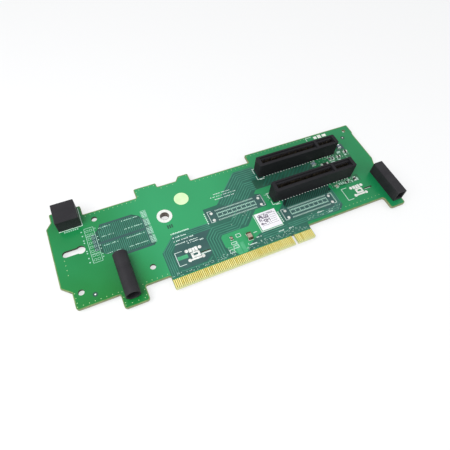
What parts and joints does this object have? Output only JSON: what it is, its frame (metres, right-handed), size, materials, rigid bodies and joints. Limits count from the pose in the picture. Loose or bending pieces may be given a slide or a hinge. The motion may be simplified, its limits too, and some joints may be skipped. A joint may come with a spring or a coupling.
{
  "type": "pcie riser card",
  "caption": "Green riser board that plugs in on its card edge and carries two card slots, two guide sockets and a corner block.",
  "frame": {"origin": "middle of the key notch on the card edge, at mid-thickness of the board", "axes": "+X along the card edge towards the short side of the key, +Y up from the card edge, +Z out of the face that carries the slots"},
  "size_m": [0.205, 0.0702, 0.0151],
  "materials": {
    "solder_mask_laminate": "satin green solder mask over glass laminate",
    "gold_plating": "plated",
    "spring_alloy": "plated spring strip",
    "slot_plastic": "moulded",
    "guide_plastic": "moulded",
    "bushing_metal": "tin plated",
    "sticker_paper": "coated paper",
    "label_paper": "coated paper",
    "tinned_terminals": "tinned",
    "capacitor_ceramic": "fired",
    "coil_ferrite": "fired",
    "chip_package": "moulded"
  },
  "bodies": {
    "root": {"blank_label": "label_paper", "bulk_capacitor": "capacitor_ceramic", "bulk_capacitor_terminals": "tinned_terminals", "circuit_board": "solder_mask_laminate", "corner_block": "guide_plastic", "corner_coil": "coil_ferrite", "corner_coil_terminals": "tinned_terminals", "edge_contacts_back": "gold_plating", "edge_contacts_front": "gold_plating", "filter_capacitor": "capacitor_ceramic", "filter_capacitor_terminals": "tinned_terminals", "front_capacitor": "capacitor_ceramic", "front_capacitor_terminals": "tinned_terminals", "front_driver": "chip_package", "front_driver_terminals": "tinned_terminals", "front_resistor": "chip_package", "front_resistor_terminals": "tinned_terminals", "front_slot_far_contacts": "spring_alloy", "front_slot_housing": "slot_plastic", "front_slot_near_contacts": "spring_alloy", "mounting_bushing": "bushing_metal", "rear_coil": "coil_ferrite", "rear_coil_terminals": "tinned_terminals", "rear_driver": "chip_package", "rear_driver_terminals": "tinned_terminals", "rear_regulator": "chip_package", "rear_regulator_terminals": "tinned_terminals", "rear_resistor_left": "chip_package", "rear_resistor_left_terminals": "tinned_terminals", "rear_resistor_pack": "chip_package", "rear_resistor_pack_terminals": "tinned_terminals", "rear_resistor_right": "chip_package", "rear_resistor_right_terminals": "tinned_terminals", "rear_slot_far_contacts": "spring_alloy", "rear_slot_housing": "slot_plastic", "rear_slot_near_contacts": "spring_alloy", "round_guide_socket": "guide_plastic", "round_sticker": "sticker_paper", "slotted_guide_socket": "guide_plastic"}
  },
  "joints": []
}
